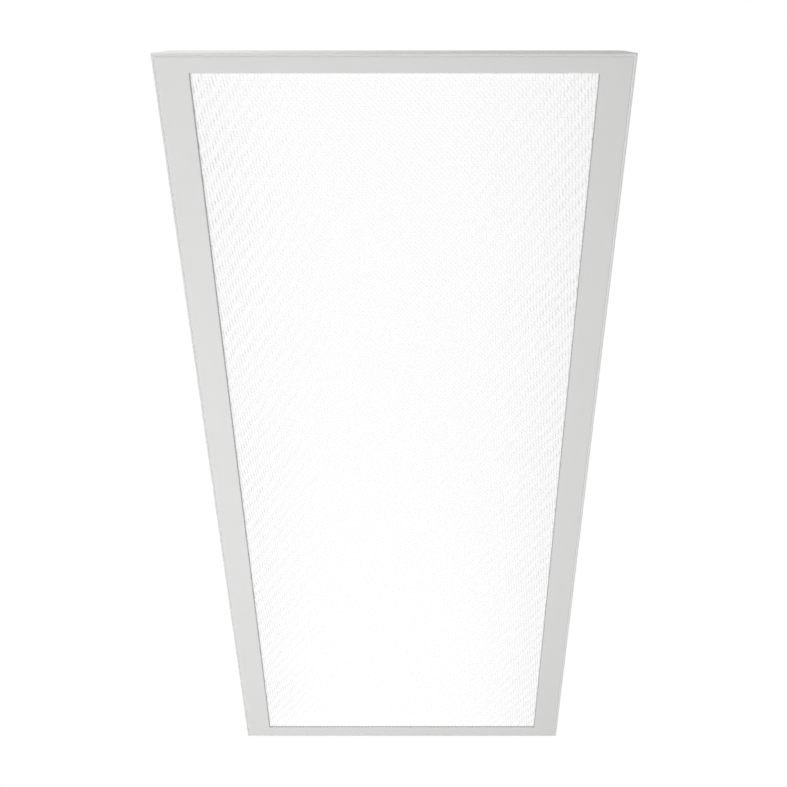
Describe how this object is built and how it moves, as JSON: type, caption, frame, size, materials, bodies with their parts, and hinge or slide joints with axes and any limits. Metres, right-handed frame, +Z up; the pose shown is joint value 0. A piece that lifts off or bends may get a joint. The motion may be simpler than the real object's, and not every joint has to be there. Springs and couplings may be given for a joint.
{
  "type": "recessed troffer light",
  "caption": "Lay-in ceiling light: a shallow steel pan with a flat framed door that holds a prismatic lens, hinged on one long side and latched on the other.",
  "frame": {"origin": "middle of the visible face, in the plane of the ceiling grid", "axes": "+X across the light, away from the hinged side; +Y along it; +Z up into the ceiling"},
  "size_m": [0.603, 1.213, 0.0852],
  "materials": {
    "white_enamel": "smooth white baked enamel",
    "inner_enamel": "high-reflectance white enamel",
    "prismatic_acrylic": "clear acrylic with small prisms pressed in its face",
    "zinc_steel": "zinc-plated steel",
    "spring_steel": "spring steel",
    "board_white": "white solder mask with yellow-phosphor packages",
    "driver_metal": "white painted driver case",
    "black_nylon": "black nylon bushing",
    "terminal_plastic": "moulded insulator",
    "ground_green": "green-dyed ground screw",
    "wire_jacket": "white jacket of the leads to the boards"
  },
  "bodies": {
    "housing": {"access_plate": "white_enamel", "access_plate_screws": "zinc_steel", "board_links": "terminal_plastic", "driver_case": "driver_metal", "driver_screws": "zinc_steel", "end_plate_far": "white_enamel", "end_plate_near": "white_enamel", "gear_tray": "inner_enamel", "gear_tray_screws": "zinc_steel", "ground_screw": "ground_green", "hinge_leaf_far": "zinc_steel", "hinge_leaf_near": "zinc_steel", "housing_pan": "white_enamel", "lead_bushings": "black_nylon", "lead_connectors": "terminal_plastic", "led_board_left_far": "board_white", "led_board_left_near": "board_white", "led_board_middle_far": "board_white", "led_board_middle_near": "board_white", "led_board_right_far": "board_white", "led_board_right_near": "board_white", "led_board_screws": "zinc_steel", "output_lead_left": "wire_jacket", "output_lead_middle": "wire_jacket", "output_lead_right": "wire_jacket", "output_terminal_block": "terminal_plastic", "supply_terminal_block": "terminal_plastic"},
    "door": {"corner_gusset_far_hinge": "white_enamel", "corner_gusset_far_latch": "white_enamel", "corner_gusset_near_hinge": "white_enamel", "corner_gusset_near_latch": "white_enamel", "door_rail_far": "white_enamel", "door_rail_hinge": "white_enamel", "door_rail_latch": "white_enamel", "door_rail_near": "white_enamel", "hinge_bracket_far": "zinc_steel", "hinge_bracket_near": "zinc_steel", "hinge_pin_far": "zinc_steel", "hinge_pin_near": "zinc_steel", "latch_stud_far": "zinc_steel", "latch_stud_near": "zinc_steel", "lens": "prismatic_acrylic", "lens_retainers": "spring_steel"},
    "latch_near": {"latch_cam_near": "zinc_steel"},
    "clip_near_left": {"grid_clip_near_left": "white_enamel"},
    "clip_near_right": {"grid_clip_near_right": "white_enamel"},
    "latch_far": {"latch_cam_far": "zinc_steel"},
    "clip_far_left": {"grid_clip_far_left": "white_enamel"},
    "clip_far_right": {"grid_clip_far_right": "white_enamel"}
  },
  "joints": [
    {"name": "door_swing", "type": "hinge", "parent": "housing", "child": "door", "pos_m": [-0.2923, 0, 0.0033], "axis": [0, 1, 0], "range_deg": [0, 90]},
    {"name": "latch_turn_near", "type": "hinge", "parent": "door", "child": "latch_near", "pos_m": [0.277, -0.35, 0.0126], "axis": [0, 0, -1], "range_deg": [0, 90]},
    {"name": "latch_turn_far", "type": "hinge", "parent": "door", "child": "latch_far", "pos_m": [0.277, 0.35, 0.0126], "axis": [0, 0, -1], "range_deg": [0, 90]},
    {"name": "clip_tilt_near_left", "type": "hinge", "parent": "housing", "child": "clip_near_left", "pos_m": [-0.19, -0.6061, 0.04], "axis": [1, 0, 0], "range_deg": [0, 90]},
    {"name": "clip_tilt_near_right", "type": "hinge", "parent": "housing", "child": "clip_near_right", "pos_m": [0.19, -0.6061, 0.04], "axis": [1, 0, 0], "range_deg": [0, 90]},
    {"name": "clip_tilt_far_left", "type": "hinge", "parent": "housing", "child": "clip_far_left", "pos_m": [-0.19, 0.6061, 0.04], "axis": [-1, 0, 0], "range_deg": [0, 90]},
    {"name": "clip_tilt_far_right", "type": "hinge", "parent": "housing", "child": "clip_far_right", "pos_m": [0.19, 0.6061, 0.04], "axis": [-1, 0, 0], "range_deg": [0, 90]}
  ]
}
